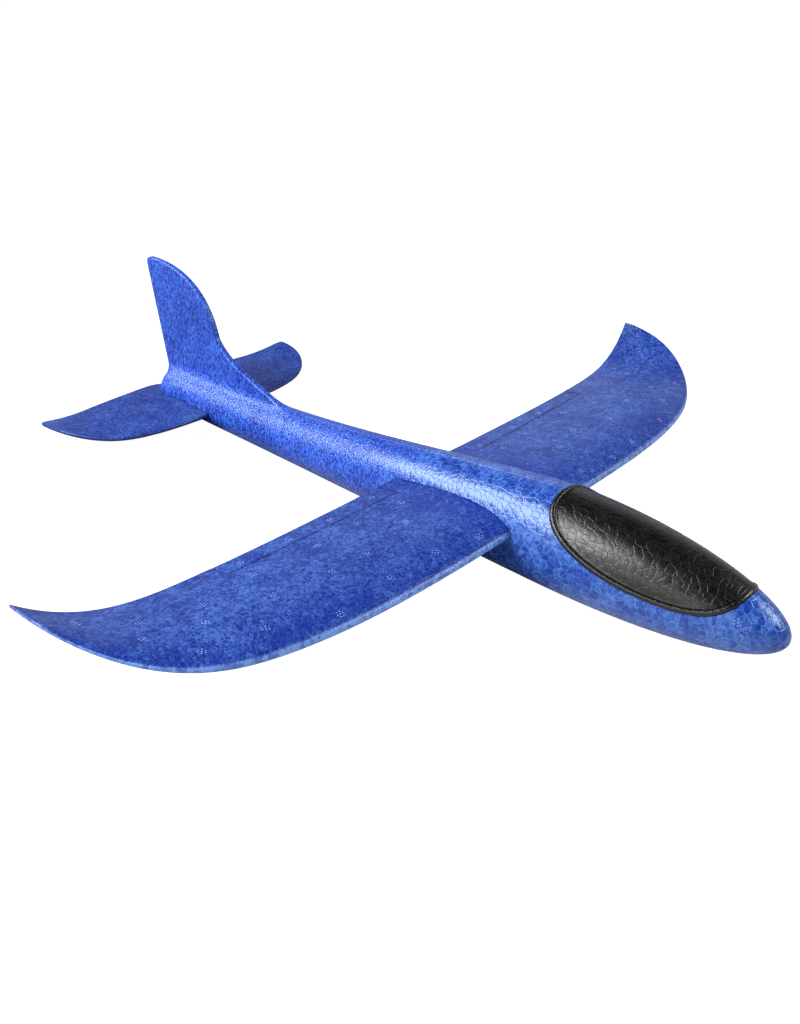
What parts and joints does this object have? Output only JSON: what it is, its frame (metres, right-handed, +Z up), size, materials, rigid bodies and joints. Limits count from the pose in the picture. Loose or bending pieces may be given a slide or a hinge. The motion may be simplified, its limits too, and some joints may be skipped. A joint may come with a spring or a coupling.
{
  "type": "toy airplane",
  "caption": "Moulded foam hand-launch glider: round fuselage with upright fin, slotted wing with hinged trim flaps, slide-in tailplane and lift-out black canopy.",
  "frame": {"origin": "on the ground, under the middle of the glider's box", "axes": "+Z up, +Y from nose to tail, +X along the span to the port wing tip"},
  "size_m": [0.4898, 0.4831, 0.109],
  "materials": {
    "blue_foam": "satin moulded bead foam",
    "black_foam": "satin moulded bead foam",
    "steel": "plain turned"
  },
  "bodies": {
    "airframe": {"fuselage": "blue_foam", "nose_weight": "steel"},
    "wing": {"wing": "blue_foam"},
    "flap_starboard": {"flap_starboard": "blue_foam"},
    "flap_port": {"flap_port": "blue_foam"},
    "stabiliser": {"stabiliser": "blue_foam"},
    "canopy": {"canopy": "black_foam"}
  },
  "joints": [
    {"name": "wing_slide", "type": "slide", "parent": "airframe", "child": "wing", "axis": [1, 0, 0], "range_m": [-0.007, 0.007]},
    {"name": "flap_starboard_hinge", "type": "hinge", "parent": "wing", "child": "flap_starboard", "pos_m": [-0.0345, -0.0289, 0.03324], "axis": [0.9994, -0.0346, -0.0007], "range_deg": [-25, 25]},
    {"name": "flap_port_hinge", "type": "hinge", "parent": "wing", "child": "flap_port", "pos_m": [0.0345, -0.0289, 0.03324], "axis": [0.9994, 0.0346, 0.0007], "range_deg": [-25, 25]},
    {"name": "stabiliser_slide", "type": "slide", "parent": "airframe", "child": "stabiliser", "axis": [0, 1, 0], "range_m": [0, 0.075]},
    {"name": "canopy_lift", "type": "slide", "parent": "airframe", "child": "canopy", "axis": [0, 0, 1], "range_m": [0, 0.035]}
  ]
}
